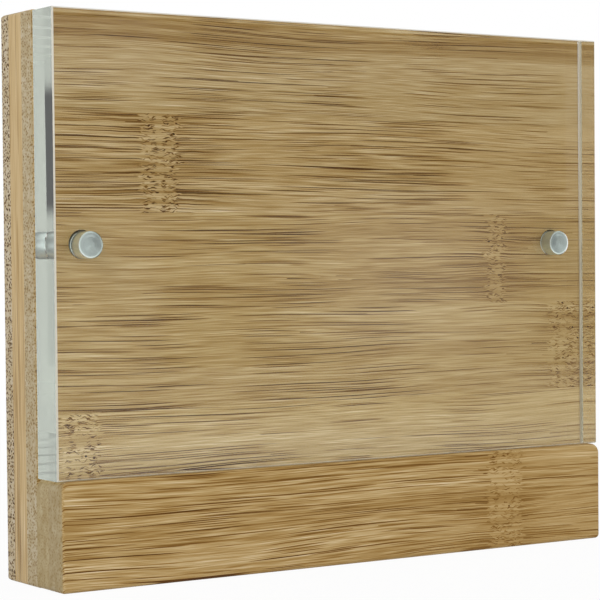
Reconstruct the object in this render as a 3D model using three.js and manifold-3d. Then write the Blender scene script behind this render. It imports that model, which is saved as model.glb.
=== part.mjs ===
// Magnetic photo display frame: a bamboo plywood board with a base bar along its foot, and a thick clear
// panel that stands on the bar and is held to the board by two pairs of magnets.
// Millimetres. +X runs along the front to the right, the front faces -Y, +Z is up.
// The origin is the middle of the footprint, on the surface that the frame stands on.

import * as THREE from 'three';
import { mergeVertices } from 'three/addons/utils/BufferGeometryUtils.js';
import Module from 'manifold-3d';

// Clear panel, the size of a 6 x 4 inch print
const FRAME_WIDTH = 152.4;
const PANEL_HEIGHT = 101.6;
const PANEL_THICKNESS = 9.8;
const PANEL_BEVEL = 0.3;

// Room behind the panel for one print
const PRINT_GAP = 0.3;

// Board of three crossed plies, each glued up from bamboo strips
const FRONT_PLY = 4.9;
const CORE_PLY = 6.1;
const BACK_PLY = 4.0;
const STRIP_WIDTH = 22;
const NARROWEST_STRIP = 5;
const BOARD_ABOVE_PANEL = 0.4;
const BOARD_CORNER_RADIUS = 0.8;
const BACK_EDGE_RADIUS = 1.5;
const BACK_UPRIGHT_RADIUS = 0.5;

// Base bar, glued to the foot of the board, two plies deep
const BAR_HEIGHT = 24;
const BAR_INNER_PLY = 5.6;
const BAR_BEFORE_PANEL = 1.5;
const BAR_SHOULDER_RADIUS = 2.4;
const BAR_EDGE_RADIUS = 0.5;

// Magnets: plated steel-grey cylinders with a small chamfer on both ends
const MAGNET_DIAMETER = 6;
const MAGNET_CHAMFER = 0.35;
const PANEL_MAGNET_LENGTH = 5.8;
const BOARD_MAGNET_LENGTH = 3;
const MAGNET_INSET = 10;
const PANEL_HOLE_CLEARANCE = 0.05;
const BOARD_POCKET_CLEARANCE = 0.3;
const BOARD_POCKET_SHIFT = 0.18;
const POCKET_FLOOR_CLEARANCE = 0.05;

// Facets of the round forms
const ROUND_SEGMENTS = 48;
const EDGE_SEGMENTS = 4;
const BEVEL_STEPS = 1;

// Heights and depths that follow from the sizes above
const boardHeight = BAR_HEIGHT + PANEL_HEIGHT + BOARD_ABOVE_PANEL;
const boardThickness = FRONT_PLY + CORE_PLY + BACK_PLY;
const barDepth = PRINT_GAP + PANEL_THICKNESS + BAR_BEFORE_PANEL;
const frameDepth = barDepth + boardThickness;
const boardFaceY = barDepth - frameDepth / 2;
const magnetX = FRAME_WIDTH / 2 - MAGNET_INSET;
const magnetHeight = BAR_HEIGHT + PANEL_HEIGHT / 2;
const frameSpan = [-FRAME_WIDTH / 2, FRAME_WIDTH / 2];
const sides = { left: -1, right: 1 };

const wasm = await Module();
wasm.setup();

// A closed three.js geometry as a solid that can be cut and joined
function solidOf(geometry) {
  const bare = geometry.clone();
  bare.deleteAttribute('normal');
  bare.deleteAttribute('uv');
  const merged = mergeVertices(bare, 1e-5);
  return new wasm.Manifold(new wasm.Mesh({
    numProp: 3,
    vertProperties: new Float32Array(merged.attributes.position.array),
    triVerts: new Uint32Array(merged.index.array),
  }));
}

// The same solid back as a geometry with flat facets
function geometryOf(solid) {
  const mesh = solid.getMesh();
  const indexed = new THREE.BufferGeometry();
  indexed.setAttribute('position', new THREE.BufferAttribute(mesh.vertProperties, 3));
  indexed.setIndex(new THREE.BufferAttribute(mesh.triVerts, 1));
  const geometry = indexed.toNonIndexed();
  geometry.computeVertexNormals();
  return geometry;
}

// A rectangle whose four corners, counter-clockwise from the low one, have their own radii, each in a number of steps
function roundedRectangle([lowU, highU], [lowV, highV], radii, steps) {
  const corners = [[lowU, lowV], [highU, lowV], [highU, highV], [lowU, highV]];
  const points = [];
  corners.forEach(([u, v], i) => {
    const radius = radii[i];
    const centreU = u === lowU ? u + radius : u - radius;
    const centreV = v === lowV ? v + radius : v - radius;
    const cornerSteps = radius > 0 ? steps : 0;
    for (let step = 0; step <= cornerSteps; step += 1) {
      const angle = Math.PI * (1 + i / 2) + (Math.PI / 2) * (step / Math.max(cornerSteps, 1));
      points.push(new THREE.Vector2(centreU + radius * Math.cos(angle), centreV + radius * Math.sin(angle)));
    }
  });
  return new THREE.Shape(points);
}

// Each view's outline lies in two axes, and its prism runs along the third
const viewAxes = {
  front: [new THREE.Vector3(1, 0, 0), new THREE.Vector3(0, 0, 1), new THREE.Vector3(0, -1, 0)],
  side: [new THREE.Vector3(0, 1, 0), new THREE.Vector3(0, 0, 1), new THREE.Vector3(1, 0, 0)],
  top: [new THREE.Vector3(1, 0, 0), new THREE.Vector3(0, 1, 0), new THREE.Vector3(0, 0, 1)],
};

// The solid that has these outlines seen from the front, from the side and from above
function solidFromViews(outlines, reach) {
  let solid = null;
  for (const [view, outline] of Object.entries(outlines)) {
    const prism = new THREE.ExtrudeGeometry(outline, { depth: 2 * reach, bevelEnabled: false });
    prism.translate(0, 0, -reach);
    prism.applyMatrix4(new THREE.Matrix4().makeBasis(...viewAxes[view]));
    solid = solid ? solid.intersect(solidOf(prism)) : solidOf(prism);
  }
  return solid;
}

// A block given by its limits along each axis
function block([lowX, highX], [lowY, highY], [lowZ, highZ]) {
  const box = new THREE.BoxGeometry(highX - lowX, highY - lowY, highZ - lowZ);
  box.translate((lowX + highX) / 2, (lowY + highY) / 2, (lowZ + highZ) / 2);
  return solidOf(box);
}

// A round rod along Y, with both ends chamfered
function rodAlongY(diameter, length, chamfer) {
  const radius = diameter / 2;
  const profile = [
    new THREE.Vector2(0, 0),
    new THREE.Vector2(radius - chamfer, 0),
    new THREE.Vector2(radius, chamfer),
    new THREE.Vector2(radius, length - chamfer),
    new THREE.Vector2(radius - chamfer, length),
    new THREE.Vector2(0, length),
  ];
  return new THREE.LatheGeometry(profile, ROUND_SEGMENTS);
}

// A plain round cutter along Y, from lowY to highY, at a place on the front
function cutterAlongY(diameter, lowY, highY, x, z) {
  const cutter = new THREE.CylinderGeometry(diameter / 2, diameter / 2, highY - lowY, ROUND_SEGMENTS);
  cutter.translate(x, (lowY + highY) / 2, z);
  return solidOf(cutter);
}

// Where a ply is cut into strips: full strips from its first edge, and what is left beside its last edge
function stripEdges(firstEdge, lastEdge) {
  const direction = Math.sign(lastEdge - firstEdge);
  const edges = [firstEdge];
  let next = firstEdge + direction * STRIP_WIDTH;
  while ((lastEdge - next) * direction > NARROWEST_STRIP) {
    edges.push(next);
    next += direction * STRIP_WIDTH;
  }
  edges.push(lastEdge);
  return edges;
}

function span(a, b) {
  return [Math.min(a, b), Math.max(a, b)];
}

const bamboo = (tone) => new THREE.MeshStandardMaterial({ color: tone, roughness: 0.55, metalness: 0 });
const FACE_TONE = 0xb0966a;
const CORE_TONE = 0xbd9a68;
const BACK_TONE = 0xa08a62;
const BAR_TONE = 0xac8a55;
const acrylic = () => new THREE.MeshStandardMaterial({
  color: 0xe6f0f0, roughness: 0.04, metalness: 0, transparent: true, opacity: 0.35,
});
const nickel = () => new THREE.MeshStandardMaterial({ color: 0xb4bcba, roughness: 0.25, metalness: 1 });

function piece(name, geometry, material) {
  const mesh = new THREE.Mesh(geometry, material);
  mesh.name = name;
  return mesh;
}

// The board, with y = 0 on its front face. Each strip is its length of ply within the rounded outline of the board.
// A magnet is glued low in its roomy pocket, against the inner side.
function buildBoard() {
  const board = new THREE.Group();
  const height = [0, boardHeight];
  const depth = [0, boardThickness];
  const cornerRadii = [BOARD_CORNER_RADIUS, BOARD_CORNER_RADIUS, BOARD_CORNER_RADIUS, BOARD_CORNER_RADIUS];
  const body = solidFromViews({
    front: roundedRectangle(frameSpan, height, cornerRadii, EDGE_SEGMENTS),
    side: roundedRectangle(depth, height, [0, BACK_EDGE_RADIUS, BACK_EDGE_RADIUS, 0], EDGE_SEGMENTS),
    top: roundedRectangle(frameSpan, depth, [0, 0, BACK_UPRIGHT_RADIUS, BACK_UPRIGHT_RADIUS], EDGE_SEGMENTS),
  }, FRAME_WIDTH + boardHeight);
  const wholeWidth = [-FRAME_WIDTH, FRAME_WIDTH];
  const wholeHeight = [-boardHeight, 2 * boardHeight];
  const frontDepth = [0, FRONT_PLY];
  const coreDepth = [FRONT_PLY, FRONT_PLY + CORE_PLY];
  const backDepth = [FRONT_PLY + CORE_PLY, 2 * boardThickness];
  const pocketDiameter = MAGNET_DIAMETER + 2 * BOARD_POCKET_CLEARANCE;
  const pocketDepth = BOARD_MAGNET_LENGTH + POCKET_FLOOR_CLEARANCE;

  const frontEdges = stripEdges(boardHeight, 0);
  for (let i = 1; i < frontEdges.length; i += 1) {
    let strip = body.intersect(block(wholeWidth, frontDepth, span(frontEdges[i - 1], frontEdges[i])));
    for (const side of Object.values(sides)) {
      const pocketX = side * (magnetX + BOARD_POCKET_SHIFT);
      const pocketHeight = magnetHeight + BOARD_POCKET_SHIFT;
      strip = strip.subtract(cutterAlongY(pocketDiameter, -pocketDepth, pocketDepth, pocketX, pocketHeight));
    }
    board.add(piece(`front_ply_strip_${i}`, geometryOf(strip), bamboo(FACE_TONE)));
  }

  const coreEdges = stripEdges(-FRAME_WIDTH / 2, FRAME_WIDTH / 2);
  for (let i = 1; i < coreEdges.length; i += 1) {
    const strip = body.intersect(block(span(coreEdges[i - 1], coreEdges[i]), coreDepth, wholeHeight));
    board.add(piece(`core_ply_strip_${i}`, geometryOf(strip), bamboo(CORE_TONE)));
  }

  const backEdges = stripEdges(0, boardHeight);
  for (let i = 1; i < backEdges.length; i += 1) {
    const strip = body.intersect(block(wholeWidth, backDepth, span(backEdges[i - 1], backEdges[i])));
    board.add(piece(`back_ply_strip_${i}`, geometryOf(strip), bamboo(BACK_TONE)));
  }

  for (const [sideName, side] of Object.entries(sides)) {
    const magnet = piece(`board_magnet_${sideName}`, rodAlongY(MAGNET_DIAMETER, BOARD_MAGNET_LENGTH, MAGNET_CHAMFER),
      nickel());
    magnet.position.set(side * magnetX, 0, magnetHeight);
    board.add(magnet);
  }
  return board;
}

// The base bar, with y = 0 on the board's front face. Its front edges and its two upper shoulders are rounded.
function buildBar() {
  const bar = new THREE.Group();
  const height = [0, BAR_HEIGHT];
  const depth = [-barDepth, 0];
  const footAndShoulderRadii = [BOARD_CORNER_RADIUS, BOARD_CORNER_RADIUS, BAR_SHOULDER_RADIUS, BAR_SHOULDER_RADIUS];
  const body = solidFromViews({
    front: roundedRectangle(frameSpan, height, footAndShoulderRadii, EDGE_SEGMENTS),
    side: roundedRectangle(depth, height, [BAR_EDGE_RADIUS, 0, 0, BAR_EDGE_RADIUS], EDGE_SEGMENTS),
    top: roundedRectangle(frameSpan, depth, [BAR_EDGE_RADIUS, BAR_EDGE_RADIUS, 0, 0], EDGE_SEGMENTS),
  }, FRAME_WIDTH + BAR_HEIGHT);
  const wholeWidth = [-FRAME_WIDTH, FRAME_WIDTH];
  const wholeHeight = [-BAR_HEIGHT, 2 * BAR_HEIGHT];
  const inner = body.intersect(block(wholeWidth, [-BAR_INNER_PLY, 0], wholeHeight));
  const outer = body.intersect(block(wholeWidth, [-2 * barDepth, -BAR_INNER_PLY], wholeHeight));
  bar.add(piece('base_bar_inner_ply', geometryOf(inner), bamboo(CORE_TONE)));
  bar.add(piece('base_bar_outer_ply', geometryOf(outer), bamboo(BAR_TONE)));
  return bar;
}

// The clear panel, with y = 0 on its back face and z = 0 on its lower edge, and a magnet in each blind hole
function buildPanel() {
  const panel = new THREE.Group();
  const height = [0, PANEL_HEIGHT];
  const depth = [-PANEL_THICKNESS, 0];
  const bevels = [PANEL_BEVEL, PANEL_BEVEL, PANEL_BEVEL, PANEL_BEVEL];
  let slab = solidFromViews({
    front: roundedRectangle(frameSpan, height, bevels, BEVEL_STEPS),
    side: roundedRectangle(depth, height, bevels, BEVEL_STEPS),
    top: roundedRectangle(frameSpan, depth, bevels, BEVEL_STEPS),
  }, FRAME_WIDTH + PANEL_HEIGHT);
  const holeDiameter = MAGNET_DIAMETER + 2 * PANEL_HOLE_CLEARANCE;
  const holeDepth = PANEL_MAGNET_LENGTH + POCKET_FLOOR_CLEARANCE;
  for (const side of Object.values(sides)) {
    slab = slab.subtract(cutterAlongY(holeDiameter, -holeDepth, holeDepth, side * magnetX, PANEL_HEIGHT / 2));
  }
  panel.add(piece('clear_panel', geometryOf(slab), acrylic()));
  for (const [sideName, side] of Object.entries(sides)) {
    const magnet = piece(`panel_magnet_${sideName}`, rodAlongY(MAGNET_DIAMETER, PANEL_MAGNET_LENGTH, MAGNET_CHAMFER),
      nickel());
    magnet.position.set(side * magnetX, -PANEL_MAGNET_LENGTH, PANEL_HEIGHT / 2);
    panel.add(magnet);
  }
  return panel;
}

const frame = new THREE.Group();

const board = buildBoard();
board.position.set(0, boardFaceY, 0);
frame.add(board);

const bar = buildBar();
bar.position.set(0, boardFaceY, 0);
frame.add(bar);

const panel = buildPanel();
panel.position.set(0, boardFaceY - PRINT_GAP, BAR_HEIGHT);
frame.add(panel);

export default frame;
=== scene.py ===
# %% [markdown]
# # A magnetic photo display frame
#
# The real object is a bamboo plywood board with a bamboo bar glued along its foot. A thick clear acrylic
# panel stands on the bar, and two small round magnets in the panel hold it to two more in the board. This
# lesson dresses the measured CAD model of the frame: the wood gets a procedural bamboo finish, and the
# board's face, the bar, the clear panel and the magnets are modelled again with the fine bevels that catch
# the light.

# %% Load the measured model
import math

import bmesh
import bpy
from mathutils import Matrix, Quaternion, Vector


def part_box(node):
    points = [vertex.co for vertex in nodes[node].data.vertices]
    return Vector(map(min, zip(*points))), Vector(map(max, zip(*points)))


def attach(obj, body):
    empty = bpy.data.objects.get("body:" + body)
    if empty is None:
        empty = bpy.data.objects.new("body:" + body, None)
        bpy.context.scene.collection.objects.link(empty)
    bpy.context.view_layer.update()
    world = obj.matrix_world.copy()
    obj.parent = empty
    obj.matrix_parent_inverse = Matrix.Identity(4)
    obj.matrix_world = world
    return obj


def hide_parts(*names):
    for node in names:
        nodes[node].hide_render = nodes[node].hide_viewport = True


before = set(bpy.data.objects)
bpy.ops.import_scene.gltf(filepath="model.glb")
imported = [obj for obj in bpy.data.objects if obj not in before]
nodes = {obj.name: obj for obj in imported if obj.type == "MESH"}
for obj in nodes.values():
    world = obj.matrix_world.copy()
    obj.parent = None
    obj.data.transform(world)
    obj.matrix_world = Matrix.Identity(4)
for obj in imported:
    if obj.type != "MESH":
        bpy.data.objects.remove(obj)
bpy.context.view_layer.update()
bpy.ops.object.select_all(action="DESELECT")
print("CAD nodes:", len(nodes))

# %% [markdown]
# ## The camera
#
# The photograph was matched by a pinhole camera: its place, its aim and its focal length come from the
# corners of the frame. Blender turns a camera to a direction with to_track_quat, which keeps it upright, and
# a small turn about its own axis then gives the photograph's slight tilt. The upright edges draw together
# downwards more than the framing allows, so the picture was cut from the upper part of a larger one: a small
# shift does that.

# %% Camera at the photograph's viewpoint
CAMERA_PLACE = Vector((-0.28281, -0.41712, 0.07171))
CAMERA_DIRECTION = Vector((0.55295, 0.83259, -0.0323))
CAMERA_TILT = -0.00869
FOCAL_LENGTH = 127.1
SENSOR_WIDTH = 36
UPWARD_SHIFT = 0.0431

camera_data = bpy.data.cameras.new("photo_camera")
camera_data.lens = FOCAL_LENGTH
camera_data.sensor_width = SENSOR_WIDTH
camera_data.shift_y = UPWARD_SHIFT
camera = bpy.data.objects.new("photo_camera", camera_data)
upright = CAMERA_DIRECTION.to_track_quat("-Z", "Y")
camera.rotation_mode = "QUATERNION"
camera.rotation_quaternion = upright @ Quaternion((0, 0, 1), CAMERA_TILT)
camera.location = CAMERA_PLACE
bpy.context.scene.collection.objects.link(camera)
bpy.context.scene.camera = camera
print("camera looks", round(math.degrees(math.asin(-CAMERA_DIRECTION.z)), 2), "degrees down")

# %% [markdown]
# ## Small helpers for shader nodes
#
# A procedural material is a chain of arithmetic. These helpers add one node each and take either a number or
# another node's socket, so that a formula can be read in the order in which it is worked out.

# %% Shader node helpers
def feed(tree, socket, source):
    """Links a socket to another one, or sets it to a plain value."""
    if isinstance(source, bpy.types.NodeSocket):
        tree.links.new(source, socket)
    elif source is not None:
        socket.default_value = source


def maths(tree, operation, first, second=None, third=None, clamp=False):
    """One Math node."""
    node = tree.nodes.new("ShaderNodeMath")
    node.operation = operation
    node.use_clamp = clamp
    for socket, source in zip(node.inputs, (first, second, third)):
        feed(tree, socket, source)
    return node.outputs[0]


def vector_maths(tree, operation, first, second=None):
    """One Vector Math node."""
    node = tree.nodes.new("ShaderNodeVectorMath")
    node.operation = operation
    feed(tree, node.inputs[0], first)
    feed(tree, node.inputs[1], second)
    return node.outputs["Value" if operation in ("LENGTH", "DOT_PRODUCT") else "Vector"]


def soft_step(tree, value, low, high):
    """0 below low, 1 above high, and a smooth rise between. Low may be the larger, which turns it round."""
    node = tree.nodes.new("ShaderNodeMapRange")
    node.interpolation_type = "SMOOTHSTEP"
    feed(tree, node.inputs["Value"], value)
    feed(tree, node.inputs["From Min"], low)
    feed(tree, node.inputs["From Max"], high)
    return node.outputs["Result"]


def enabled(sockets, name):
    """The socket of this name that is in use, on a node that keeps one for each kind of data."""
    return next(socket for socket in sockets if socket.name == name and socket.enabled)


def blend_between(tree, share, first, second, data_type="RGBA"):
    """One Mix node, for colours or with data_type FLOAT for numbers."""
    node = tree.nodes.new("ShaderNodeMix")
    node.data_type = data_type
    feed(tree, enabled(node.inputs, "Factor"), share)
    feed(tree, enabled(node.inputs, "A"), first)
    feed(tree, enabled(node.inputs, "B"), second)
    return enabled(node.outputs, "Result")


def blend_shaders(tree, share, first, second):
    """One Mix Shader node."""
    node = tree.nodes.new("ShaderNodeMixShader")
    for socket, source in zip(node.inputs, (share, first, second)):
        feed(tree, socket, source)
    return node.outputs[0]


def noise(tree, position, detail=2.0):
    """A Noise texture, whose value lies about 0.5."""
    node = tree.nodes.new("ShaderNodeTexNoise")
    node.inputs["Scale"].default_value = 1
    node.inputs["Detail"].default_value = detail
    node.inputs["Roughness"].default_value = 0.5
    feed(tree, node.inputs["Vector"], position)
    return node.outputs[0]


def divide(tree, position, sizes):
    """A position measured in steps of sizes, which stretches a pattern to those sizes."""
    return vector_maths(tree, "DIVIDE", position, sizes)


def split(tree, vector):
    """The three numbers of a vector."""
    node = tree.nodes.new("ShaderNodeSeparateXYZ")
    feed(tree, node.inputs[0], vector)
    return node.outputs[0], node.outputs[1], node.outputs[2]


def join(tree, x, y, z):
    """A vector from three numbers."""
    node = tree.nodes.new("ShaderNodeCombineXYZ")
    for socket, source in zip(node.inputs, (x, y, z)):
        feed(tree, socket, source)
    return node.outputs[0]


def cells(tree, position, dimensions="3D"):
    """A Voronoi texture: the distance to the nearest cell's point, and that cell's three random numbers."""
    node = tree.nodes.new("ShaderNodeTexVoronoi")
    node.voronoi_dimensions = dimensions
    node.inputs["Scale"].default_value = 1
    feed(tree, node.inputs["W" if dimensions == "1D" else "Vector"], position)
    return node.outputs["Distance"], split(tree, node.outputs["Color"])


# %% [markdown]
# ## Studio
#
# The photograph has a plain white ground. The floor is white paper that keeps the frame's soft shadow, and
# the world is white wherever the camera sees it. What the panel and the magnets mirror is a plain studio:
# bright behind the frame and dim in front of it, with a low pale card in front to the right. What shows
# through the panel's left face comes from the front too: a pale gap between grey flats, crossed just above
# the horizon by a dark flat, which is the slate band in that face.

# %% World
SKY_STRENGTH = 0.62
BLEND_HALF_WIDTH = 0.35


def window(tree, value, limits, edge):
    """1 between two limits, and 0 outside, with edges this soft."""
    low, high = limits
    return maths(tree, "MULTIPLY", soft_step(tree, value, low - edge, low + edge),
                 soft_step(tree, value, high + edge, high - edge))


def from_degrees(low, high):
    """Two angles in degrees, in radians."""
    return math.radians(low), math.radians(high)


world = bpy.data.worlds.new("studio")
world.use_nodes = True
bpy.context.scene.world = world
tree = world.node_tree
tree.nodes.clear()
direction = tree.nodes.new("ShaderNodeTexCoord").outputs["Generated"]
east, north, up = split(tree, direction)
to_the_right = maths(tree, "ARCTAN2", east, maths(tree, "MULTIPLY", north, -1.0))
behind = soft_step(tree, north, -BLEND_HALF_WIDTH, BLEND_HALF_WIDTH)
print("sky strength for the object:", SKY_STRENGTH)

# %% What shiny faces mirror
FRONT_DIMNESS = 0.1
CARD_BEARING = from_degrees(34, 39)
CARD_RISE = (-0.05, 0.022)
CARD_STRENGTH = 0.95

pale_card = maths(tree, "MULTIPLY", window(tree, to_the_right, CARD_BEARING, 0.035),
                  window(tree, up, CARD_RISE, 0.022))
mirrored = maths(tree, "MULTIPLY_ADD", behind, 1 - FRONT_DIMNESS, FRONT_DIMNESS)
mirrored = maths(tree, "MULTIPLY_ADD", pale_card, CARD_STRENGTH, mirrored)
print("in front, shiny faces mirror", FRONT_DIMNESS, "and a card of", CARD_STRENGTH)

# %% What shows through the clear panel
FRONT_GREY = 0.4
GAP_BEARING = from_degrees(23, 30)
GAP_STRENGTH = 0.85
FLAT_BEARING = from_degrees(8, 50)
FLAT_RISE = (0.022, 0.08)
FLAT_STRENGTH = 0.03

pale_gap = maths(tree, "MULTIPLY", window(tree, to_the_right, GAP_BEARING, 0.01), GAP_STRENGTH)
through = maths(tree, "MULTIPLY_ADD", behind, 1 - FRONT_GREY, FRONT_GREY)
through = maths(tree, "MAXIMUM", through, pale_gap)
dark_flat = maths(tree, "MULTIPLY", window(tree, to_the_right, FLAT_BEARING, 0.05),
                  window(tree, up, FLAT_RISE, 0.005))
through = maths(tree, "MULTIPLY", through, maths(tree, "MULTIPLY_ADD", dark_flat, FLAT_STRENGTH - 1, 1.0))
print("in front, the panel shows", FRONT_GREY, "with a gap of", GAP_STRENGTH, "and a flat of", FLAT_STRENGTH)

# %% One sky for each kind of ray
def before_matt_wood(tree, path):
    """1 for a ray that has not met a matt face yet. Later ones only light the wood."""
    return maths(tree, "LESS_THAN", path.outputs["Diffuse Depth"], 0.5)


path = tree.nodes.new("ShaderNodeLightPath")
first_looks = before_matt_wood(tree, path)
glossy = maths(tree, "MULTIPLY", path.outputs["Is Glossy Ray"], first_looks)
transmitted = maths(tree, "MULTIPLY", path.outputs["Is Transmission Ray"], first_looks)
strength = blend_between(tree, glossy, SKY_STRENGTH, mirrored, "FLOAT")
strength = blend_between(tree, transmitted, strength, through, "FLOAT")
strength = blend_between(tree, path.outputs["Is Camera Ray"], strength, 1.0, "FLOAT")
background = tree.nodes.new("ShaderNodeBackground")
background.inputs["Color"].default_value = (1, 1, 1, 1)
feed(tree, background.inputs["Strength"], strength)
sky = tree.nodes.new("ShaderNodeOutputWorld")
feed(tree, sky.inputs["Surface"], background.outputs[0])
world.cycles.sampling_method = "NONE"
print("the world has", len(tree.nodes), "nodes")

# %% Floor of white paper
FLOOR_RADIUS = 0.9
PAPER_COLOUR = (0.88, 0.88, 0.88, 1)
PAPER_GLOW = 0.94
WHITE_FROM, WHITE_AT = 0.25, 0.7
DIM_FROM, DIM_AT = 0.28, 0.55
FRONT_FROM, FRONT_AT = 0.0, -0.1

bpy.ops.mesh.primitive_circle_add(vertices=96, radius=FLOOR_RADIUS, fill_type="NGON", location=(0, 0, 0))
floor = bpy.context.active_object
floor.name = "paper_floor"
paper = bpy.data.materials.new("white_paper")
paper.use_nodes = True
tree = paper.node_tree
tree.nodes.clear()
place = tree.nodes.new("ShaderNodeTexCoord").outputs["Object"]
distance = vector_maths(tree, "LENGTH", place)
path = tree.nodes.new("ShaderNodeLightPath")
matt = tree.nodes.new("ShaderNodeBsdfDiffuse")
matt.inputs["Color"].default_value = PAPER_COLOUR
glow = tree.nodes.new("ShaderNodeEmission")

# A mirrored floor is as dim in front as the mirrored sky, but a refracted ray also counts as a glossy one
towards_front = soft_step(tree, split(tree, place)[1], FRONT_FROM, FRONT_AT)
far_in_front = maths(tree, "MULTIPLY", towards_front, soft_step(tree, distance, DIM_FROM, DIM_AT))
dimmed = maths(tree, "MULTIPLY_ADD", far_in_front, FRONT_DIMNESS - 1, 1.0)
only_mirrored = maths(tree, "SUBTRACT", path.outputs["Is Glossy Ray"], path.outputs["Is Transmission Ray"],
                      clamp=True)
feed(tree, glow.inputs["Strength"], blend_between(tree, only_mirrored, 1.0, dimmed, "FLOAT"))

# The glow keeps a faint shadow near the frame, and turns to plain white far from it
far_away = soft_step(tree, distance, WHITE_FROM, WHITE_AT)
glow_share = maths(tree, "MULTIPLY_ADD", far_away, 1 - PAPER_GLOW, PAPER_GLOW)
glow_share = maths(tree, "MULTIPLY", before_matt_wood(tree, path), glow_share)
output = tree.nodes.new("ShaderNodeOutputMaterial")
feed(tree, output.inputs["Surface"], blend_shaders(tree, glow_share, matt.outputs[0], glow.outputs[0]))
floor.data.materials.append(paper)
print("floor of", 2 * FLOOR_RADIUS, "m")

# %% Lamps
OBJECT_MIDDLE = Vector((0, 0, 0.06))
KEY_PLACE, KEY_SIZE, KEY_POWER = Vector((-0.95, -0.55, 0.75)), 0.7, 5.0
FILL_PLACE, FILL_SIZE, FILL_POWER = Vector((0.7, -1.0, 0.5)), 0.8, 3.4


def soft_box(name, place, size, power, mirrored):
    """A square lamp that faces the frame, and that shiny things mirror or not."""
    data = bpy.data.lights.new(name, "AREA")
    data.size = size
    data.energy = power
    lamp = bpy.data.objects.new(name, data)
    lamp.location = place
    lamp.rotation_mode = "QUATERNION"
    lamp.rotation_quaternion = (OBJECT_MIDDLE - place).to_track_quat("-Z", "Y")
    lamp.visible_transmission = False
    lamp.visible_glossy = mirrored
    bpy.context.scene.collection.objects.link(lamp)


soft_box("key_box", KEY_PLACE, KEY_SIZE, KEY_POWER, mirrored=True)
soft_box("fill_box", FILL_PLACE, FILL_SIZE, FILL_POWER, mirrored=False)
print("lamps: key from the left, fill from the right")

# %% Colours as they are written, and long ways through the clear panel
bpy.context.scene.view_settings.view_transform = "Standard"
bpy.context.scene.cycles.max_bounces = 32
bpy.context.scene.cycles.glossy_bounces = 24
bpy.context.scene.cycles.transmission_bounces = 24
bpy.context.scene.cycles.transparent_max_bounces = 16
bpy.context.scene.cycles.blur_glossy = 0.0
print("a ray may bounce", bpy.context.scene.cycles.max_bounces, "times")

# %% [markdown]
# ## Bamboo
#
# A bamboo strip is a bundle of straight fibres. Dark vessels run through the paler flesh, so that they show
# as long thin dashes where a strip is cut along the grain, and as pepper dots on its end. At each knuckle of
# the stem the fibres break off in a pale, curdled band. One node group makes all of this as a solid pattern,
# in millimetres, with the fibre along its X axis, and each strip of the board uses it with its own seed,
# tones and knuckle. The group is built in the order of the cells that follow.

# %% Helpers for the bamboo pattern
STAIN_KEEPS = (0.368, 0.245, 0.088)
THINNEST_DASH = 0.5
DASH_CORE = 0.6
FAINTEST_DASH = 0.25


def add_input(tree, kind, name, value):
    """A named input of a node group, with its default value."""
    socket = tree.interface.new_socket(name=name, in_out="INPUT", socket_type=kind)
    if value is not None:
        socket.default_value = value


def dashes(tree, along, sideways, length, pitch, widest, density):
    """Thin tapered dashes in a share of the cells, length by pitch in size: how deep each is stained."""
    cell_place = join(tree, maths(tree, "DIVIDE", along, length), maths(tree, "DIVIDE", sideways, pitch), 0.0)
    distance, (present, size, depth) = cells(tree, cell_place, "2D")
    radius = maths(tree, "MULTIPLY_ADD", size, widest * (1 - THINNEST_DASH), widest * THINNEST_DASH)
    body = soft_step(tree, distance, radius, maths(tree, "MULTIPLY", radius, DASH_CORE))
    there = maths(tree, "LESS_THAN", present, density)
    weight = maths(tree, "MULTIPLY_ADD", depth, 1 - FAINTEST_DASH, FAINTEST_DASH)
    return maths(tree, "MULTIPLY", body, maths(tree, "MULTIPLY", there, weight))


def total(tree, *parts):
    """The sum of several (value, weight) pairs."""
    result = 0.0
    for value, weight in parts:
        result = maths(tree, "MULTIPLY_ADD", value, weight, result)
    return result


def wave(tree, position, sizes, detail=2.0):
    """Noise about zero, drawn out to these sizes."""
    return maths(tree, "SUBTRACT", noise(tree, divide(tree, position, sizes), detail), 0.5)


def moved_across(tree, position, way):
    """A position moved across the fibre."""
    return vector_maths(tree, "ADD", position, join(tree, 0.0, way, 0.0))


def stained(tree, colour, depth):
    """Flesh seen through a depth of brown stain, which keeps least of its blue and most of its red."""
    kept = [maths(tree, "POWER", share, depth) for share in STAIN_KEEPS]
    return vector_maths(tree, "MULTIPLY", colour, join(tree, *kept))


# %% Bamboo node group and its sockets
bamboo_group = bpy.data.node_groups.new("bamboo_flesh", "ShaderNodeTree")
tree = bamboo_group
add_input(tree, "NodeSocketVector", "Position", None)
add_input(tree, "NodeSocketVector", "Facing", None)
add_input(tree, "NodeSocketFloat", "Seed", 0.0)
add_input(tree, "NodeSocketFloat", "Knuckle", 0.0)
add_input(tree, "NodeSocketFloat", "Knuckle Half Width", 4.5)
add_input(tree, "NodeSocketFloat", "Streaks", 0.5)
add_input(tree, "NodeSocketFloat", "Streak Depth", 2.9)
add_input(tree, "NodeSocketFloat", "Streak Width", 1.0)
add_input(tree, "NodeSocketFloat", "Variation", 1.25)
# Painted shade darkens the face where it lies below this number across the fibre; the default gives none
add_input(tree, "NodeSocketFloat", "Dark Below", -1000.0)
add_input(tree, "NodeSocketFloat", "Calm Beyond", 5.0)
add_input(tree, "NodeSocketFloat", "Pepper", 0.85)
add_input(tree, "NodeSocketColor", "Flesh", (0.56, 0.42, 0.205, 1))
add_input(tree, "NodeSocketColor", "End Flesh", (0.45, 0.365, 0.225, 1))
results = {"Color": "NodeSocketColor", "Roughness": "NodeSocketFloat", "Height": "NodeSocketFloat"}
for name, kind in results.items():
    tree.interface.new_socket(name=name, in_out="OUTPUT", socket_type=kind)
given = tree.nodes.new("NodeGroupInput").outputs
result = tree.nodes.new("NodeGroupOutput").inputs
print("bamboo group has", len(given) - 1, "inputs")

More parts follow.
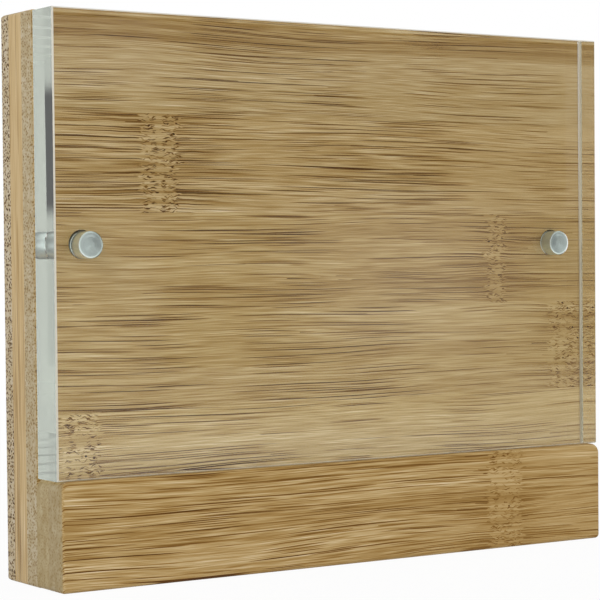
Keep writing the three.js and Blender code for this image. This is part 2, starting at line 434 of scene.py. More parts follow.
# %% The strip's own piece of bamboo, and where its knuckle is
SEED_STEP = 37.7
RAGGED_SIZES = (400, 0.7, 0.7)
RAGGED_REACH = 8.0
KNUCKLE_EDGE = 0.3
NEAR_REACH = 9.0
NATURAL_BASE = 2.718

along, across = split(tree, given["Position"])[:2]
shift = maths(tree, "MULTIPLY", given["Seed"], SEED_STEP)
own = vector_maths(tree, "ADD", given["Position"], join(tree, shift, shift, shift))
from_knuckle = maths(tree, "SUBTRACT", along, given["Knuckle"])
from_edge = maths(tree, "MULTIPLY_ADD", wave(tree, own, RAGGED_SIZES), RAGGED_REACH, from_knuckle)
past_edge = maths(tree, "SUBTRACT", maths(tree, "ABSOLUTE", from_edge), given["Knuckle Half Width"])
in_knuckle = soft_step(tree, past_edge, KNUCKLE_EDGE, -KNUCKLE_EDGE)
outside = maths(tree, "SUBTRACT", 1.0, in_knuckle)
past_edge = maths(tree, "MAXIMUM", past_edge, 0.0)
near_knuckle = maths(tree, "POWER", NATURAL_BASE, maths(tree, "DIVIDE", past_edge, -NEAR_REACH))
print("a knuckle is felt for", NEAR_REACH, "mm beyond its edge")

# %% Fibres, which wander a little, and more near the knuckle
QUICK_SIZES = (7, 2.6, 2.6)
QUICK_NEAR, QUICK_ANYWHERE = 0.7, 0.04
SLOW_SIZES = (90, 20, 20)
SLOW_REACH = 5.0
SLANT = -1.37

quick_share = maths(tree, "MULTIPLY_ADD", near_knuckle, QUICK_NEAR, QUICK_ANYWHERE)
wander = maths(tree, "MULTIPLY", wave(tree, own, QUICK_SIZES, 1.0), quick_share)
wander = maths(tree, "MULTIPLY_ADD", wave(tree, own, SLOW_SIZES, 1.0), SLOW_REACH, wander)
fibre = moved_across(tree, own, wander)
fibre_along, fibre_across, fibre_deep = split(tree, fibre)

# Vessels are laid out across the grain only. The slant gives them a depth as well, and its sign keeps them
# running on over a rounded edge, where the other one would hold them still.
slanted = maths(tree, "MULTIPLY_ADD", fibre_deep, SLANT, fibre_across)
sideways = maths(tree, "DIVIDE", slanted, given["Streak Width"])
print("fibres wander by up to", SLOW_REACH / 2, "mm")

# %% Tone, from broad bands down to single fibres
bands = wave(tree, fibre, (120, 6.5, 6.5))
ribbons = wave(tree, fibre, (80, 1.2, 1.5))
threads = wave(tree, fibre, (55, 0.4, 0.5), 1.0)
hairs = wave(tree, fibre, (10, 0.2, 0.25), 1.0)
tone = total(tree, (bands, 0.35), (ribbons, 0.25), (threads, 0.45), (hairs, 0.9))
print("tone:", len(tree.nodes), "nodes so far")

# %% Vessels, cut along their length: brown dashes, crowded in some bands and near the knuckle
LONG_VESSELS = {"length": 140, "pitch": 0.6, "widest": 0.21}
MIDDLING_VESSELS = {"length": 75, "pitch": 0.44, "widest": 0.29}
SHORT_VESSELS = {"length": 32, "pitch": 0.36, "widest": 0.36}
LAYER_STEP = 7.0

crowd = maths(tree, "MULTIPLY_ADD", near_knuckle, 0.2, given["Streaks"])
crowd = maths(tree, "MULTIPLY", crowd, soft_step(tree, bands, -0.3, 0.1))
vessels = 0.0
for sizes, weight in ((LONG_VESSELS, 1.0), (MIDDLING_VESSELS, 0.9), (SHORT_VESSELS, 0.6)):
    own_along = maths(tree, "ADD", fibre_along, LAYER_STEP * sizes["length"])
    layer = dashes(tree, own_along, sideways, density=crowd, **sizes)
    vessels = maths(tree, "MAXIMUM", vessels, maths(tree, "MULTIPLY", layer, weight))
print("vessels:", len(tree.nodes), "nodes so far")

# %% Roots: the vessels that start at the knuckle's edge and thin out from there
ROOT_PITCH = 0.42
ROOT_SHORTEST, ROOT_SPREAD = 3.0, 17.0
ROOT_RADIUS, ROOT_CORE = 0.26, 0.5
ROOT_DENSITY = 0.6
ROOT_FAINTEST, ROOT_DEPTH = 0.1, 0.45

root_distance, root_numbers = cells(tree, maths(tree, "DIVIDE", sideways, ROOT_PITCH), "1D")
root_there, root_length, root_depth = root_numbers
root_length = maths(tree, "MULTIPLY_ADD", root_length, ROOT_SPREAD, ROOT_SHORTEST)
root_left = maths(tree, "SUBTRACT", 1.0, maths(tree, "DIVIDE", past_edge, root_length), clamp=True)
root_radius = maths(tree, "MULTIPLY", maths(tree, "SQRT", root_left), ROOT_RADIUS)
root = soft_step(tree, root_distance, root_radius, maths(tree, "MULTIPLY", root_radius, ROOT_CORE))
root = maths(tree, "MULTIPLY", root, maths(tree, "LESS_THAN", root_there, ROOT_DENSITY))
root = maths(tree, "MULTIPLY", root, maths(tree, "MULTIPLY_ADD", root_depth, ROOT_DEPTH, ROOT_FAINTEST))
vessels = maths(tree, "MULTIPLY", maths(tree, "MAXIMUM", vessels, root), outside)
print("roots reach", ROOT_SHORTEST + ROOT_SPREAD, "mm at most")

# %% The knuckle's short wavy marks and pin holes, most at its far edge
CURL_SIZES = (1.6, 1.4, 1.4)
CURL_REACH = 1.6
PATCH_SIZES = (5, 2.5, 2.5)
LONG_MARKS = {"length": 4.2, "pitch": 0.42, "widest": 0.38}
SHORT_MARKS = {"length": 2.4, "pitch": 0.34, "widest": 0.38}
SHORT_MARKS_SHIFT = 50.0
MARK_DEPTH = 0.75
PIN_SIZES = (1.7, 1.4, 1.7)
PIN_RADIUS, PIN_CORE = 0.2, 0.1
PIN_DENSITY = 0.13
PIN_DEPTH = 1.6

curled = moved_across(tree, own, maths(tree, "MULTIPLY", wave(tree, own, CURL_SIZES, 1.0), CURL_REACH))
curled_along, curled_across, curled_deep = split(tree, curled)
curled_sideways = maths(tree, "MULTIPLY_ADD", curled_deep, SLANT, curled_across)
patches = soft_step(tree, wave(tree, own, PATCH_SIZES), -0.12, 0.1)
far_side = soft_step(tree, from_edge, 0.0, given["Knuckle Half Width"])
mark_crowd = total(tree, (far_side, 0.3), (patches, 0.4), (0.3, 1.0))
long_marks = dashes(tree, curled_along, curled_sideways, density=mark_crowd, **LONG_MARKS)
short_marks = dashes(tree, maths(tree, "ADD", curled_along, SHORT_MARKS_SHIFT), curled_sideways,
                     density=mark_crowd, **SHORT_MARKS)
marks = maths(tree, "MULTIPLY", maths(tree, "MAXIMUM", long_marks, short_marks), MARK_DEPTH)
pin_distance, pin_numbers = cells(tree, divide(tree, own, PIN_SIZES))
pins = maths(tree, "MULTIPLY", soft_step(tree, pin_distance, PIN_RADIUS, PIN_CORE),
             maths(tree, "LESS_THAN", pin_numbers[0], PIN_DENSITY))
marks = maths(tree, "MAXIMUM", marks, maths(tree, "MULTIPLY", pins, PIN_DEPTH))
marks = maths(tree, "MULTIPLY", marks, in_knuckle)
print("knuckle marks:", len(tree.nodes), "nodes so far")

# %% Brown flares beside the knuckle, and painted shade below the top edge of the face, which stops short of the eased edge
TOP_SHADE_FADE = 1.2
TOP_SHADE_STOPS_FROM, TOP_SHADE_STOPS_AT = 4.7, 4.3

flare = maths(tree, "MULTIPLY", near_knuckle, soft_step(tree, ribbons, -0.05, 0.12))
# Painted shade: the band below the board's top edge is darkened in the colour, for the shadow that the clear
# panel's top edge casts on the board. It stops at the eased edge, which stays lit.
painted_top_shade = soft_step(tree, across, maths(tree, "ADD", given["Dark Below"], TOP_SHADE_FADE), given["Dark Below"])
painted_top_shade = maths(tree, "MULTIPLY", painted_top_shade, maths(tree, "MULTIPLY_ADD", ribbons, 2.0, 0.6))
below_eased_edge = soft_step(tree, across, maths(tree, "SUBTRACT", given["Dark Below"], TOP_SHADE_STOPS_FROM),
                          maths(tree, "SUBTRACT", given["Dark Below"], TOP_SHADE_STOPS_AT))
painted_top_shade = maths(tree, "MULTIPLY", painted_top_shade, below_eased_edge)
print("dark edge:", TOP_SHADE_STOPS_AT, "mm wide")

# %% The face of the strip, bold on the left and calmer beyond
CALM_WAY = 60.0
CALM_LOSS = 0.42

calm = soft_step(tree, along, given["Calm Beyond"], maths(tree, "ADD", given["Calm Beyond"], CALM_WAY))
boldness = maths(tree, "MULTIPLY_ADD", calm, -CALM_LOSS, 1.0)
groove = maths(tree, "MAXIMUM", vessels, marks)
streaks = maths(tree, "MULTIPLY", groove, given["Streak Depth"])
tone_depth = maths(tree, "MULTIPLY", tone, given["Variation"])
# The depth of stain includes the painted shade below the top edge
depth = total(tree, (streaks, boldness), (flare, 0.2), (painted_top_shade, 0.45), (tone_depth, boldness))
face = stained(tree, given["Flesh"], depth)
print("face:", len(tree.nodes), "nodes so far")

# %% The end of the strip: pepper dots in paler flesh
END_FROM, END_AT = 0.55, 0.85
DOT_SIZES = (60, 0.62, 0.55)
DOT_SMALLEST, DOT_SPREAD, DOT_CORE = 0.4, 0.2, 0.2
DOT_FAINTEST = 0.4
CLOUD_SIZES = (60, 3, 1.5)

facing_along = split(tree, given["Facing"])[0]
on_end = soft_step(tree, maths(tree, "ABSOLUTE", facing_along), END_FROM, END_AT)
dot_distance, dot_numbers = cells(tree, divide(tree, own, DOT_SIZES))
dot_radius = maths(tree, "MULTIPLY_ADD", dot_numbers[0], DOT_SPREAD, DOT_SMALLEST)
dot_weight = maths(tree, "MULTIPLY_ADD", dot_numbers[1], 1 - DOT_FAINTEST, DOT_FAINTEST)
dots = maths(tree, "MULTIPLY", soft_step(tree, dot_distance, dot_radius, DOT_CORE), dot_weight)
clouds = wave(tree, own, CLOUD_SIZES)
end_depth = total(tree, (maths(tree, "MULTIPLY", dots, given["Pepper"]), 1.0), (clouds, 0.6))
end = stained(tree, given["End Flesh"], end_depth)
print("end:", len(tree.nodes), "nodes so far")

# %% What the group puts out
FLESH_ROUGHNESS = 0.5
GROOVE_ROUGHNESS = 0.15
HAIR_HEIGHT = 0.5

feed(tree, result["Color"], blend_between(tree, on_end, face, end))
feed(tree, result["Roughness"], maths(tree, "MULTIPLY_ADD", groove, GROOVE_ROUGHNESS, FLESH_ROUGHNESS))
feed(tree, result["Height"], maths(tree, "SUBTRACT", maths(tree, "MULTIPLY", hairs, HAIR_HEIGHT), groove))
print("bamboo group has", len(tree.nodes), "nodes")

# %% Bamboo material
MILLIMETRES = 1000
OILED_SHINE = 0.15
BUMP_STRENGTH = 0.25
BUMP_DISTANCE = 0.00006
FIBRE_ACROSS = (math.radians(90), 0, 0)
FIBRE_UPRIGHT = (0, math.radians(90), 0)


def bamboo(name, upright=False, **values):
    """A material with the bamboo group in it. The fibre runs along X, or along Z if upright."""
    material = bpy.data.materials.new(name)
    material.use_nodes = True
    tree = material.node_tree
    shader = tree.nodes["Principled BSDF"]
    coordinates = tree.nodes.new("ShaderNodeTexCoord")
    group = tree.nodes.new("ShaderNodeGroup")
    group.node_tree = bamboo_group
    for source, target, kind, scale in (("Object", "Position", "POINT", MILLIMETRES),
                                        ("Normal", "Facing", "VECTOR", 1)):
        mapping = tree.nodes.new("ShaderNodeMapping")
        mapping.vector_type = kind
        mapping.inputs["Scale"].default_value = (scale, scale, scale)
        mapping.inputs["Rotation"].default_value = FIBRE_UPRIGHT if upright else FIBRE_ACROSS
        feed(tree, mapping.inputs["Vector"], coordinates.outputs[source])
        feed(tree, group.inputs[target], mapping.outputs["Vector"])
    for socket, value in values.items():
        group.inputs[socket.replace("_", " ")].default_value = value
    feed(tree, shader.inputs["Base Color"], group.outputs["Color"])
    feed(tree, shader.inputs["Roughness"], group.outputs["Roughness"])
    shader.inputs["Specular IOR Level"].default_value = OILED_SHINE
    bump = tree.nodes.new("ShaderNodeBump")
    bump.inputs["Strength"].default_value = BUMP_STRENGTH
    bump.inputs["Distance"].default_value = BUMP_DISTANCE
    feed(tree, bump.inputs["Height"], group.outputs["Height"])
    feed(tree, shader.inputs["Normal"], bump.outputs["Normal"])
    return material


def dress(node_name, material):
    """Gives a CAD node's mesh this material alone."""
    data = nodes[node_name].data
    data.materials.clear()
    data.materials.append(material)


# %% [markdown]
# ## Helpers for modelling
#
# An operator of Blender's acts on what is selected. These helpers select faces or edges by their place, as a
# hand would with the mouse, and start each new piece from nothing selected.

# %% Modelling helpers
def select_only(piece):
    """Selects one piece and nothing else."""
    bpy.ops.object.select_all(action="DESELECT")
    piece.select_set(True)
    bpy.context.view_layer.objects.active = piece


def select_where(kind, test):
    """In edit mode, selects only the edges or faces whose middle passes a test."""
    bpy.ops.mesh.select_all(action="DESELECT")
    bpy.ops.mesh.select_mode(type=kind)
    mesh = bmesh.from_edit_mesh(bpy.context.edit_object.data)
    for item in {"EDGE": mesh.edges, "FACE": mesh.faces}[kind]:
        middle = sum((corner.co for corner in item.verts), Vector()) / len(item.verts)
        if test(middle):
            item.select_set(True)
    mesh.select_flush_mode()
    bmesh.update_edit_mesh(bpy.context.edit_object.data)


def round_edges(test, radius, segments, **material):
    """In edit mode, rounds the edges whose middle passes a test."""
    select_where("EDGE", test)
    bpy.ops.mesh.bevel(offset=radius, offset_type="OFFSET", segments=segments, affect="EDGES", **material)


def new_block(name, low, high):
    """A block between two corners, as a new piece with its place in its mesh."""
    bpy.ops.object.select_all(action="DESELECT")
    low, high = Vector(low), Vector(high)
    bpy.ops.mesh.primitive_cube_add(size=1, location=(low + high) / 2, scale=high - low)
    bpy.ops.object.transform_apply(location=True, rotation=True, scale=True)
    block = bpy.context.active_object
    block.name = name
    return block


def new_rod(name, middle, radius, length, sides=96):
    """A round rod along Y."""
    bpy.ops.object.select_all(action="DESELECT")
    bpy.ops.mesh.primitive_cylinder_add(vertices=sides, radius=radius, depth=length, location=middle,
                                        rotation=(math.radians(90), 0, 0))
    bpy.ops.object.transform_apply(location=True, rotation=True, scale=True)
    rod = bpy.context.active_object
    rod.name = name
    return rod


def copy_of(piece, name):
    """A copy of a piece, with its own mesh."""
    other = piece.copy()
    other.data = piece.data.copy()
    other.name = name
    bpy.context.scene.collection.objects.link(other)
    return other


def near(a, b, within=0.00002):
    """Whether two lengths are the same."""
    return abs(a - b) < within


# %% Shading, and sizes in print
LARGE_FACE = 4e-6
ALONG_AN_AXIS = 0.9999


def smooth(piece):
    """Smooth shading on the roundings, and flat shading on the large faces, so that they mirror as planes."""
    select_only(piece)
    bpy.ops.object.shade_smooth_by_angle(angle=math.radians(50))
    bpy.ops.object.mode_set(mode="EDIT")
    bpy.ops.mesh.select_all(action="DESELECT")
    bpy.ops.mesh.select_mode(type="FACE")
    mesh = bmesh.from_edit_mesh(piece.data)
    for face in mesh.faces:
        squared = max(abs(part) for part in face.normal) > ALONG_AN_AXIS
        face.select_set(squared and face.calc_area() > LARGE_FACE)
    bmesh.update_edit_mesh(piece.data)
    bpy.ops.mesh.faces_shade_flat()
    bpy.ops.object.mode_set(mode="OBJECT")


def report(piece):
    """Prints how large a piece is, and how many faces it has."""
    size = [round(side * MILLIMETRES, 2) for side in piece.dimensions]
    print(piece.name, size, "mm,", len(piece.data.polygons), "faces")


# %% [markdown]
# ## Board face
#
# The real board is a sheet of bamboo plywood whose front edges were eased with sandpaper. The eased edges
# catch more light than the face, and show through the clear panel as a pale line along its top and its right
# end. The face ply is made as one block, its edges are rounded, it is cut along its glue seams, and a pocket
# for each magnet is bored in the strip that holds them.

# %% Face ply block with eased edges
EASED_RADIUS = 0.0007
OUTLINE_RADIUS = 0.0008

strip_boxes = {}
for strip in range(1, 7):
    strip_boxes[strip] = [Vector(corner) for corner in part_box(f"front_ply_strip_{strip}")]
face_low = Vector([min(low[axis] for low, high in strip_boxes.values()) for axis in range(3)])
face_high = Vector([max(high[axis] for low, high in strip_boxes.values()) for axis in range(3)])
face_middle = (face_low + face_high) / 2
face_block = new_block("face_block", face_low, face_high)
bpy.ops.object.mode_set(mode="EDIT")
round_edges(lambda spot: near(abs(spot.x), face_high.x) and near(spot.y, face_middle.y), OUTLINE_RADIUS, 5)
round_edges(lambda spot: near(spot.y, face_low.y) and spot.z > 2 * OUTLINE_RADIUS, EASED_RADIUS, 5)
bpy.ops.object.mode_set(mode="OBJECT")
report(face_block)

# %% Tools that cut and bore
def cut_away(piece, place, normal):
    """Cuts a closed piece along a plane, closes the cut, and keeps the side the normal points away from."""
    select_only(piece)
    bpy.ops.object.mode_set(mode="EDIT")
    bpy.ops.mesh.select_all(action="SELECT")
    bpy.ops.mesh.bisect(plane_co=place, plane_no=normal, use_fill=True, clear_outer=True)
    bpy.ops.mesh.select_all(action="SELECT")
    bpy.ops.mesh.normals_make_consistent(inside=False)
    bpy.ops.object.mode_set(mode="OBJECT")


def bore(piece, middle, radius, from_y, to_y):
    """Bores a round hole along Y into a piece."""
    drill = new_rod("drill", (middle[0], (from_y + to_y) / 2, middle[2]), radius, to_y - from_y)
    select_only(piece)
    bpy.ops.object.modifier_add(type="BOOLEAN")
    cut = piece.modifiers[-1]
    cut.object = drill
    cut.operation = "DIFFERENCE"
    cut.solver = "EXACT"
    bpy.ops.object.modifier_apply(modifier=cut.name)
    bpy.data.objects.remove(drill, do_unlink=True)


# %% Face ply cut into strips
POCKET_CLEARANCE = 0.0002
POCKET_SHIFT = 0.00018
POCKET_FLOOR = 0.00005
DRILL_STARTS = 0.001

face_strips = {}
for strip, (low, high) in strip_boxes.items():
    piece = copy_of(face_block, f"board_face_{strip}")
    if not near(high.z, face_high.z):
        cut_away(piece, (0, 0, high.z), (0, 0, 1))
    if not near(low.z, face_low.z):
        cut_away(piece, (0, 0, low.z), (0, 0, -1))
    for side in (-1, 1):
        plug_low, plug_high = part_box("board_magnet_right" if side > 0 else "board_magnet_left")
        middle = (Vector(plug_low) + Vector(plug_high)) / 2 + Vector((side * POCKET_SHIFT, 0, POCKET_SHIFT))
        if low.z < middle.z < high.z:
            radius = (plug_high[0] - plug_low[0]) / 2 + POCKET_CLEARANCE
            bore(piece, middle, radius, face_low.y - DRILL_STARTS, plug_high[1] + POCKET_FLOOR)
    smooth(piece)
    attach(piece, "frame")
    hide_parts(f"front_ply_strip_{strip}")
    face_strips[strip] = piece
    report(piece)
bpy.data.objects.remove(face_block, do_unlink=True)

# %% [markdown]
# ### Each strip's own piece of bamboo
#
# The board's face shows six strips. Their knuckles stand where the photograph has them, and the first has
# none inside the board. The strips differ a little in colour and in how many vessels they show. The core
# shows only at the ends, with its fibre upright, and how the back is laid is a guess.

# %% Strip materials
NO_KNUCKLE = 400.0
# Where the painted shade below the board's top edge begins, across the fibre in millimetres
PAINTED_SHADE_START = -120.8
NARROW_KNUCKLE, WIDE_KNUCKLE = 2.6, 4.5
FEW_STREAKS = 0.35
face_knuckles = {1: NO_KNUCKLE, 2: -46.7, 3: 48.6, 4: 70.8, 5: -67.2, 6: 20.0}
face_streaks = {1: 0.45, 2: 0.6, 3: 0.5, 4: 0.38, 5: FEW_STREAKS, 6: 0.4}
face_fleshes = {1: (0.485, 0.345, 0.155, 1), 2: (0.515, 0.365, 0.165, 1), 3: (0.465, 0.315, 0.12, 1),
                4: (0.5, 0.35, 0.143, 1), 5: (0.575, 0.422, 0.19, 1), 6: (0.53, 0.385, 0.185, 1)}

for strip, piece in face_strips.items():
    half_width = NARROW_KNUCKLE if strip == 3 else WIDE_KNUCKLE
    piece.data.materials.clear()
    piece.data.materials.append(bamboo(f"bamboo_face_{strip}", Seed=strip * 1.0, Knuckle=face_knuckles[strip],
                                       Knuckle_Half_Width=half_width, Streaks=face_streaks[strip],
                                       Flesh=face_fleshes[strip], Dark_Below=PAINTED_SHADE_START))
print("face strips in", len(face_strips), "tones")

# %% Core and back materials
CORE_SEED = 10.0
CORE_FLESH = (0.53, 0.38, 0.185, 1)
BACK_SEED = 20.0
BACK_PEPPER = 3.6
BACK_END_FLESH = (0.50, 0.41, 0.27, 1)
back_knuckles = {1: -30, 2: 55, 3: -70, 4: 12, 5: NO_KNUCKLE, 6: 40}

for strip in range(1, 8):
    core = bamboo(f"bamboo_core_{strip}", upright=True, Seed=CORE_SEED + strip, Streaks=FEW_STREAKS,
                  Knuckle=NO_KNUCKLE, Flesh=CORE_FLESH)
    dress(f"core_ply_strip_{strip}", core)
for strip, knuckle in back_knuckles.items():
    back = bamboo(f"bamboo_back_{strip}", Seed=BACK_SEED + strip, Pepper=BACK_PEPPER,
                  End_Flesh=BACK_END_FLESH, Knuckle=knuckle)
    dress(f"back_ply_strip_{strip}", back)
print("back strips:", len(back_knuckles))

# %% [markdown]
# ## Base bar
#
# The real bar is a length of bamboo plywood, two plies deep, glued on and then eased by hand: its upper
# shoulders are rounded most, its front edges a little. The bar is made as one block, its edges are bevelled
# in turn, and it is then cut in two along the glue line.

# %% Bar block with rounded shoulders
SHOULDER_RADIUS = 0.0024
FOOT_RADIUS = 0.0011
FRONT_RADIUS = 0.001

inner_box = [Vector(corner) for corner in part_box("base_bar_inner_ply")]
outer_box = [Vector(corner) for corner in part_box("base_bar_outer_ply")]
bar_low, bar_high, glue_line = outer_box[0], inner_box[1], outer_box[1].y
bar = new_block("base_bar_outer", bar_low, bar_high)
bpy.ops.object.mode_set(mode="EDIT")
for height, radius in ((bar_high.z, SHOULDER_RADIUS), (bar_low.z, FOOT_RADIUS)):
    round_edges(lambda spot: near(spot.z, height) and near(abs(spot.x), bar_high.x), radius, 10)
round_edges(lambda spot: near(spot.y, bar_low.y), FRONT_RADIUS, 5)
bpy.ops.object.mode_set(mode="OBJECT")
report(bar)

# %% Bar cut along its glue line
inner_bar = copy_of(bar, "base_bar_inner")
for piece, way_cut in ((bar, 1), (inner_bar, -1)):
    cut_away(piece, (0, glue_line, 0), (0, way_cut, 0))
    smooth(piece)
    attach(piece, "frame")
    report(piece)
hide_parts("base_bar_outer_ply")
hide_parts("base_bar_inner_ply")

# %% Bar materials
BAR_FLESH = (0.46, 0.31, 0.125, 1)
BAR_PEPPER = 0.35

inner_bar.data.materials.append(bamboo("bamboo_bar_inner", Seed=31.0, Knuckle=NO_KNUCKLE, Pepper=BAR_PEPPER,
                                       End_Flesh=(0.40, 0.31, 0.16, 1)))
bar.data.materials.append(bamboo("bamboo_bar_outer", Seed=32.0, Knuckle=45.3, Knuckle_Half_Width=5.0,
                                 Streaks=0.8, Streak_Depth=1.7, Streak_Width=1.4, Variation=1.5,
                                 Calm_Beyond=0.0, Flesh=BAR_FLESH, Pepper=BAR_PEPPER,
                                 End_Flesh=(0.38, 0.295, 0.158, 1)))
print("bar materials:", inner_bar.data.materials[0].name, "and", bar.data.materials[0].name)

# %% [markdown]
# ## Clear acrylic
#
# Real glass shading bends what lies behind it. Lamps would not reach the board through it in few samples, so
# the material lets shadow rays pass straight through. The long way through the sheet from end to end takes
# about four tenths of the light, which a faint absorption in its volume does. The fine bevels were sanded and
# not polished, so they scatter light, and the part they scatter is given a painted tan, a painted reflection
# of the bamboo near them. Those at the front are scraped and a paler painted tan, a painted highlight, and
# seen from inside the sheet they are clear, so that they make no dark lines there.

# %% Acrylic material
ACRYLIC_IOR = 1.49
SHADOW_COLOUR = (0.97, 0.975, 0.97, 1)
ABSORPTION_COLOUR = (0.88, 0.895, 0.87, 1)
ABSORPTION_DENSITY = 30.0
INSIDE_ROUGHNESS = 0.05


def clear_sheet(name, roughness, clearness=1.0, tint=(1.0, 1.0, 1.0, 1), clear_inside=False):
    """Clear acrylic with this roughness of its surface, which scatters what its clearness leaves."""
    material = bpy.data.materials.new(name)
    material.use_nodes = True
    tree = material.node_tree
    shader = tree.nodes["Principled BSDF"]
    shader.inputs["Base Color"].default_value = tint
    shader.inputs["Roughness"].default_value = roughness
    shader.inputs["IOR"].default_value = ACRYLIC_IOR
    shader.inputs["Transmission Weight"].default_value = clearness
    surface = shader.outputs[0]
    if clear_inside:
        inner = tree.nodes.new("ShaderNodeBsdfGlass")
        inner.inputs["Roughness"].default_value = INSIDE_ROUGHNESS
        inner.inputs["IOR"].default_value = ACRYLIC_IOR
        from_inside = tree.nodes.new("ShaderNodeNewGeometry").outputs["Backfacing"]
        surface = blend_shaders(tree, from_inside, surface, inner.outputs[0])
    clear = tree.nodes.new("ShaderNodeBsdfTransparent")
    clear.inputs["Color"].default_value = SHADOW_COLOUR
    in_shadow = tree.nodes.new("ShaderNodeLightPath").outputs["Is Shadow Ray"]
    output = tree.nodes["Material Output"]
    feed(tree, output.inputs["Surface"], blend_shaders(tree, in_shadow, surface, clear.outputs[0]))
    absorption = tree.nodes.new("ShaderNodeVolumeAbsorption")
    absorption.inputs["Color"].default_value = ABSORPTION_COLOUR
    absorption.inputs["Density"].default_value = ABSORPTION_DENSITY
    feed(tree, output.inputs["Volume"], absorption.outputs[0])
    return material


polished_acrylic = clear_sheet("polished_acrylic", 0.0)
# Painted reflection: the sanded bevels scatter a tan that stands for the bamboo near them
sanded_acrylic = clear_sheet("sanded_acrylic", 0.3, 0.4, (0.68, 0.57, 0.39, 1))
# Painted highlight: the scraped front bevels scatter a paler tan
scraped_acrylic = clear_sheet("scraped_acrylic", 0.3, 0.3, (0.88, 0.84, 0.73, 1), clear_inside=True)
print("acrylic finishes: polished, sanded and scraped")

# %% [markdown]
# ## Clear panel
#
# The real panel is sawn from thick sheet, its edges are broken with a fine bevel, and a blind hole for each
# magnet is drilled from behind. The block stands a hair's breadth above the bar, because two faces in the
# same place would show as stripes. The bevel operator gives its new faces a material of their own. The front
# edge on the right stays sharp, because a bevel there would show as a dark line in the left face.

# %% Panel block with sanded bevels
PANEL_LIFT = 0.00005
FRONT_BEVEL = 0.0003
BACK_BEVEL = 0.00055
SANDED = 1
SCRAPED = 2

panel_low, panel_high = (Vector(corner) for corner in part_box("clear_panel"))
panel_low.z += PANEL_LIFT
panel_middle = (panel_low + panel_high) / 2
panel = new_block("polished_panel", panel_low, panel_high)
for finish in (polished_acrylic, sanded_acrylic, scraped_acrylic):
    panel.data.materials.append(finish)
bpy.ops.object.mode_set(mode="EDIT")
round_edges(lambda spot: near(spot.y, panel_low.y) and not near(spot.x, panel_high.x), FRONT_BEVEL, 2,
            material=SCRAPED)
round_edges(lambda spot: near(spot.y, panel_high.y) and near(spot.z, panel_middle.z), BACK_BEVEL, 2,
            material=SANDED)
bpy.ops.object.mode_set(mode="OBJECT")
report(panel)

# %% Blind holes for the magnets
GLUE_OVERLAP = 0.00002
FLOOR_GAP = 0.00005

for side in ("left", "right"):
    plug_low, plug_high = (Vector(corner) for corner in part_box(f"panel_magnet_{side}"))
    radius = (plug_high.x - plug_low.x) / 2 - GLUE_OVERLAP
    bore(panel, (plug_low + plug_high) / 2, radius, plug_low.y - FLOOR_GAP, plug_high.y + DRILL_STARTS)
smooth(panel)
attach(panel, "panel")
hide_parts("clear_panel")
report(panel)

# %% [markdown]
# ## Magnets
#
# A magnet of this kind is pressed powder, ground round, with bright nickel plating over rounded rims and
# finely turned ends. The turned rings spread the light into a bright and a dark fan. A radial tangent does
# this in the shading, and two soft wedges add a painted highlight and a painted dark reflection to the
# colour. The rims and sides are painted brighter too, as a painted highlight. One plug is modelled for the
# panel and copied to the other side. The shorter ones in the board are made the same way.

# %% Magnet plating
PLATING_COLOUR = (0.53, 0.61, 0.585)
# Painted highlight and painted dark reflection: the aims of the two wedges on the magnet ends
RINGS_PER_METRE = 4000
PAINTED_HIGHLIGHT_AIM = (0.4, 0.0, -0.92)
PAINTED_DARK_REFLECTION_AIM = (-0.94, 0.0, 0.34)
PAINTED_DARK_REFLECTION_FROM, PAINTED_DARK_REFLECTION_AT = 0.0006, 0.0012
# Painted highlight on the rounded rims and the sides, from this radius outwards
PAINTED_RIM_FROM, PAINTED_RIM_AT = 0.0024, 0.0027
MAGNET_PLACE = (Vector(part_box("panel_magnet_right")[0]) + Vector(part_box("panel_magnet_right")[1])) / 2

plating = bpy.data.materials.new("magnet_plating")
plating.use_nodes = True
tree = plating.node_tree
shader = tree.nodes["Principled BSDF"]
place = tree.nodes.new("ShaderNodeTexCoord").outputs["Object"]
place_x = maths(tree, "ABSOLUTE", split(tree, place)[0])
place_z = split(tree, place)[2]
from_axis = join(tree, maths(tree, "SUBTRACT", place_x, MAGNET_PLACE.x), 0.0,
                 maths(tree, "SUBTRACT", place_z, MAGNET_PLACE.z))
radius = vector_maths(tree, "LENGTH", from_axis)
towards = vector_maths(tree, "NORMALIZE", from_axis)
# Painted highlight: a bright wedge below the middle of each end. Painted reflection: a dark wedge left of the
# middle.
painted_bright_fan = soft_step(tree, vector_maths(tree, "DOT_PRODUCT", towards, PAINTED_HIGHLIGHT_AIM), 0.6, 1.0)
painted_dark_fan = soft_step(tree, vector_maths(tree, "DOT_PRODUCT", towards, PAINTED_DARK_REFLECTION_AIM), 0.45, 0.95)
painted_dark_fan = maths(tree, "MULTIPLY", painted_dark_fan, soft_step(tree, radius, PAINTED_DARK_REFLECTION_FROM, PAINTED_DARK_REFLECTION_AT))
# Painted highlight: the rounded rims and the sides are brighter
painted_rim_highlight = soft_step(tree, radius, PAINTED_RIM_FROM, PAINTED_RIM_AT)
ring_place = join(tree, maths(tree, "MULTIPLY", radius, RINGS_PER_METRE), 0.0, 0.0)
rings = maths(tree, "SUBTRACT", noise(tree, ring_place, 1.0), 0.5)
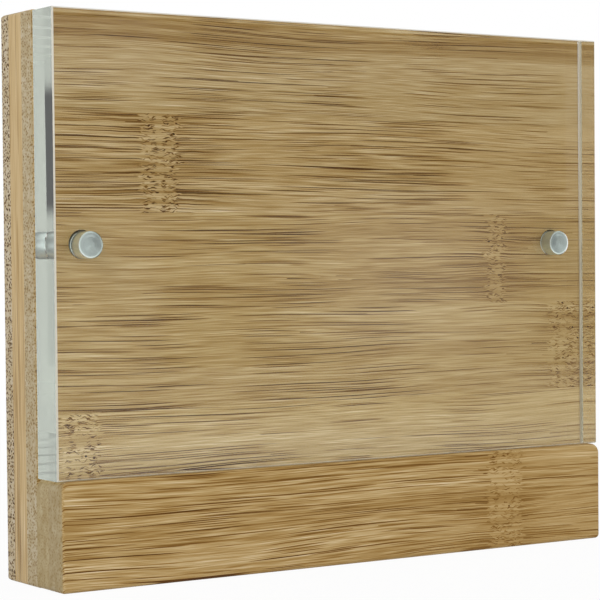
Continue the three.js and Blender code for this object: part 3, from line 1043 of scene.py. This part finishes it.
# The plating's tone: turned rings, with the painted highlights and the painted dark wedge
tone = total(tree, (painted_bright_fan, 0.2), (painted_dark_fan, -0.35), (rings, 0.5), (painted_rim_highlight, 0.55), (1.0, 1.0))
plating_with_painted_highlights = vector_maths(tree, "MULTIPLY", PLATING_COLOUR, join(tree, tone, tone, tone))
feed(tree, shader.inputs["Base Color"], plating_with_painted_highlights)
shader.inputs["Metallic"].default_value = 0.8
shader.inputs["Roughness"].default_value = 0.3
shader.inputs["Anisotropic"].default_value = 0.9
tangent = tree.nodes.new("ShaderNodeTangent")
tangent.direction_type = "RADIAL"
tangent.axis = "Y"
feed(tree, shader.inputs["Tangent"], tangent.outputs[0])
print("magnet plating has", len(tree.nodes), "nodes")

# %% Rounded plugs
RIM_RADIUS = 0.00035
DISH_WIDTH = 0.0007
DISH_SLOPE = 0.00014
DISH_DEPTH = 0.00003


def plug(name, node_name):
    """A magnet with rounded rims and slightly dished ends, in the place of a CAD magnet."""
    low, high = (Vector(corner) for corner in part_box(node_name))
    middle = (low + high) / 2
    rod = new_rod(name, middle, (high.x - low.x) / 2, high.y - low.y)
    bpy.ops.object.mode_set(mode="EDIT")
    for end in (low.y, high.y):
        round_edges(lambda spot: near(spot.y, end), RIM_RADIUS, 6)
        end_middle = Vector((middle.x, end, middle.z))
        select_where("FACE", lambda spot: near((spot - end_middle).length, 0.0))
        bpy.ops.mesh.inset(thickness=DISH_WIDTH, use_boundary=True)
        bpy.ops.mesh.inset(thickness=DISH_SLOPE, depth=-DISH_DEPTH, use_boundary=True)
    bpy.ops.object.mode_set(mode="OBJECT")
    rod.data.materials.append(plating)
    smooth(rod)
    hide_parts(node_name)
    report(rod)
    return rod


def plug_copied_to(piece, name, node_name, like):
    """A copy of a plug, moved from one CAD magnet's place to another's."""
    other = copy_of(piece, name)
    other.data.transform(Matrix.Translation(Vector(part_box(node_name)[0]) - Vector(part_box(like)[0])))
    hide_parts(node_name)
    return other


for body, holder in (("panel", "panel"), ("frame", "board")):
    left = plug(f"{holder}_plug_left", f"{holder}_magnet_left")
    right = plug_copied_to(left, f"{holder}_plug_right", f"{holder}_magnet_right", f"{holder}_magnet_left")
    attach(left, body)
    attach(right, body)
